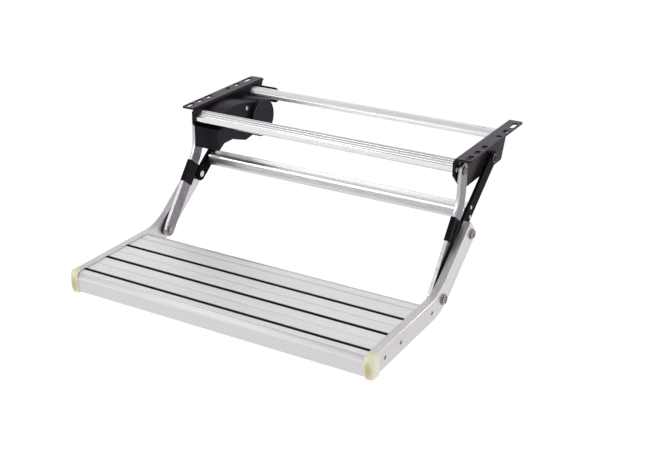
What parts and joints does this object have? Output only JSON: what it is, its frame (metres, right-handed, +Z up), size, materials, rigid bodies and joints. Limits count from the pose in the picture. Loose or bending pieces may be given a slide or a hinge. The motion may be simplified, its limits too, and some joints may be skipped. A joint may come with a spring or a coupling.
{
  "type": "entry step",
  "caption": "Powered fold-away entry step for a caravan or camper, with a ribbed aluminium tread on swinging arms below slotted mounting brackets.",
  "frame": {"origin": "in the mounting plane, the top of both bracket flanges, midway between the two round bolt holes", "axes": "+X across the doorway to the right as seen from outside, +Y inwards under the vehicle floor, +Z up"},
  "size_m": [0.5616, 0.5324, 0.2272],
  "materials": {
    "black_coated_steel": "satin black powder coat",
    "anodised_aluminium": "bright anodised extrusion",
    "cast_aluminium": "tumbled grey",
    "link_steel": "satin black coated",
    "black_plastic": "fine grained",
    "pale_plastic": "cream white",
    "grip_rubber": "ribbed black",
    "zinc_plated_steel": "zinc plated",
    "gear_steel": "oiled",
    "bush_bronze": "sintered bronze",
    "circuit_board": "green solder mask"
  },
  "bodies": {
    "frame": {"left_bracket": "black_coated_steel", "right_bracket": "black_coated_steel", "front_cross_bar": "anodised_aluminium", "rear_cross_bar": "anodised_aluminium", "bar_screws": "zinc_plated_steel", "arm_pivot_bolts": "zinc_plated_steel", "arm_pivot_washers": "zinc_plated_steel", "link_pivot_bolt": "zinc_plated_steel", "link_pivot_washer": "zinc_plated_steel", "link_pivot_nut": "zinc_plated_steel", "drive_housing": "black_plastic", "housing_back": "black_plastic", "housing_cap": "black_plastic", "housing_lid": "black_plastic", "housing_screw": "zinc_plated_steel", "shaft_bushes": "bush_bronze", "drive_motor": "gear_steel", "control_board": "circuit_board", "limit_switch": "black_plastic", "cable_gland": "black_plastic", "guard_plate": "black_coated_steel"},
    "front_arms": {"left_front_arm": "cast_aluminium", "right_front_arm": "cast_aluminium", "left_arm_sleeve": "black_plastic", "right_arm_sleeve": "black_plastic"},
    "rear_links": {"left_rear_link": "link_steel", "right_rear_link": "link_steel", "middle_cross_bar": "anodised_aluminium", "left_bar_end": "link_steel", "right_bar_end": "link_steel", "bar_end_rivets": "zinc_plated_steel", "output_shaft": "zinc_plated_steel", "output_gear": "gear_steel", "leg_pivot_studs": "zinc_plated_steel"},
    "drive_pinion": {"drive_pinion": "gear_steel"},
    "tread": {"front_plank": "anodised_aluminium", "middle_plank": "anodised_aluminium", "rear_plank": "anodised_aluminium", "rear_rail": "anodised_aluminium", "front_grip_strip": "grip_rubber", "middle_grip_strip": "grip_rubber", "rear_grip_strip": "grip_rubber", "left_side_channel": "anodised_aluminium", "right_side_channel": "anodised_aluminium", "left_end_cap": "pale_plastic", "right_end_cap": "pale_plastic", "plank_screws": "zinc_plated_steel", "knee_pivot_bolts": "zinc_plated_steel", "knee_washers": "zinc_plated_steel", "knee_spacers": "zinc_plated_steel", "leg_pivot_bolts": "zinc_plated_steel", "leg_washers": "zinc_plated_steel", "leg_spacers": "zinc_plated_steel"}
  },
  "joints": [
    {"name": "arm_swing", "type": "hinge", "parent": "frame", "child": "front_arms", "pos_m": [0, -0.113, -0.0237], "axis": [1, 0, 0], "range_deg": [0, 83.8]},
    {"name": "tread_tilt", "type": "hinge", "parent": "front_arms", "child": "tread", "pos_m": [0, -0.21072, -0.20049], "axis": [1, 0, 0], "range_deg": [-83.8, 0]},
    {"name": "rear_link_swing", "type": "hinge", "parent": "frame", "child": "rear_links", "pos_m": [0, 0.007, -0.0417], "axis": [1, 0, 0], "range_deg": [0, 133.6]},
    {"name": "pinion_spin", "type": "hinge", "parent": "frame", "child": "drive_pinion", "pos_m": [-0.233, -0.02289, -0.04432], "axis": [1, 0, 0], "range_deg": [-400.8, 0]}
  ],
  "couplings": [
    {"joint": "tread_tilt", "follows": "arm_swing", "ratio": -1},
    {"joint": "rear_link_swing", "follows": "arm_swing", "ratio": 1.5939},
    {"joint": "pinion_spin", "follows": "arm_swing", "ratio": -4.7817}
  ]
}
